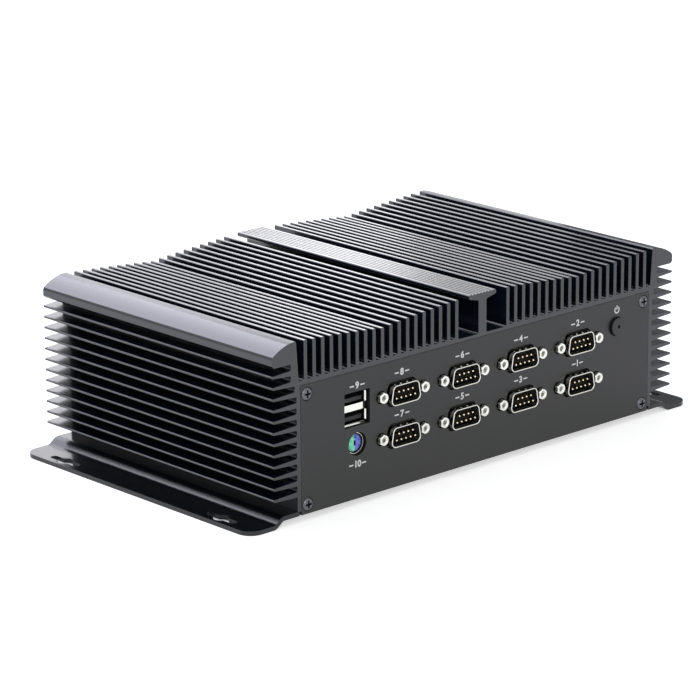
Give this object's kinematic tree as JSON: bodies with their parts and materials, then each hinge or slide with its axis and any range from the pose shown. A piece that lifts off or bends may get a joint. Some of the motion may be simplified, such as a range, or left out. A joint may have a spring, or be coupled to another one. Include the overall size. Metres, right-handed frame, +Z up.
{
  "type": "fanless industrial computer",
  "caption": "Fanless industrial computer with a black finned extruded case, serial ports on its front panel and a mounting flange with keyholes along each side.",
  "frame": {"origin": "middle of the footprint, on the surface that the mounting flanges rest on", "axes": "+X to the right across the front, +Y from the front to the back, +Z up"},
  "size_m": [0.278, 0.1624, 0.0817],
  "materials": {
    "black_anodised": "brushed, black anodised",
    "panel_black": "bead-blasted, black anodised",
    "sheet_black": "fine powder coat, semi-matt",
    "nickel": "bright nickel plate",
    "screw_steel": "nickel-plated, fine turned",
    "screw_black": "black-plated",
    "gold_pin": "gold-plated",
    "socket_black": "moulded",
    "tongue_dark": "moulded",
    "tongue_blue": "moulded",
    "mouse_green": "moulded",
    "keyboard_violet": "moulded",
    "video_blue": "moulded",
    "line_green": "moulded",
    "microphone_pink": "moulded",
    "button_grey": "satin moulded",
    "board_green": "solder mask",
    "post_brass": "turned",
    "chip_black": "moulded",
    "chip_steel": "satin plate",
    "spreader_metal": "milled",
    "choke_grey": "pressed powder",
    "capacitor_can": "drawn can",
    "cell_steel": "bright rolled"
  },
  "bodies": {
    "chassis": {"analog_video_port_body": "video_blue", "analog_video_port_jackscrews": "screw_steel", "analog_video_port_shell": "nickel", "audio_jack_line": "line_green", "audio_jack_microphone": "microphone_pink", "board_capacitors": "capacitor_can", "board_chokes": "choke_grey", "board_posts": "post_brass", "board_screws": "screw_steel", "bottom_plate": "sheet_black", "bottom_plate_screws": "screw_black", "coin_cell": "cell_steel", "coin_cell_holder": "chip_black", "digital_video_port_shell": "nickel", "digital_video_port_tongue": "tongue_dark", "front_data_port_shell": "nickel", "front_data_port_tongues": "tongue_dark", "front_panel": "panel_black", "front_panel_screws": "screw_black", "front_port_body": "socket_black", "heat_spreader": "spreader_metal", "heat_spreader_screws": "screw_steel", "heatsink_housing": "black_anodised", "mainboard": "board_green", "memory_card": "board_green", "memory_socket": "chip_black", "network_stack_1_insert": "tongue_blue", "network_stack_1_shell": "nickel", "network_stack_2_insert": "tongue_blue", "network_stack_2_shell": "nickel", "power_inlet_body": "socket_black", "power_inlet_pin": "nickel", "power_switch_body": "socket_black", "processor": "chip_steel", "rear_panel": "panel_black", "rear_panel_screws": "screw_black", "round_port_keyboard_half": "keyboard_violet", "round_port_mouse_half": "mouse_green", "round_port_ring": "nickel", "serial_port_1_shell": "nickel", "serial_port_2_shell": "nickel", "serial_port_3_shell": "nickel", "serial_port_4_shell": "nickel", "serial_port_5_shell": "nickel", "serial_port_6_shell": "nickel", "serial_port_7_shell": "nickel", "serial_port_8_shell": "nickel", "serial_port_jackscrews": "screw_steel", "serial_stack_1_body": "socket_black", "serial_stack_1_pins": "gold_pin", "serial_stack_2_body": "socket_black", "serial_stack_2_pins": "gold_pin", "serial_stack_3_body": "socket_black", "serial_stack_3_pins": "gold_pin", "serial_stack_4_body": "socket_black", "serial_stack_4_pins": "gold_pin", "storage_card": "board_green", "storage_card_post": "post_brass", "storage_socket": "chip_black"},
    "button": {"power_button": "button_grey"}
  },
  "joints": [
    {"name": "power_button_press", "type": "slide", "parent": "chassis", "child": "button", "axis": [0, 1, 0], "range_m": [0, 0.001], "stiffness_N_per_m": 1200}
  ]
}
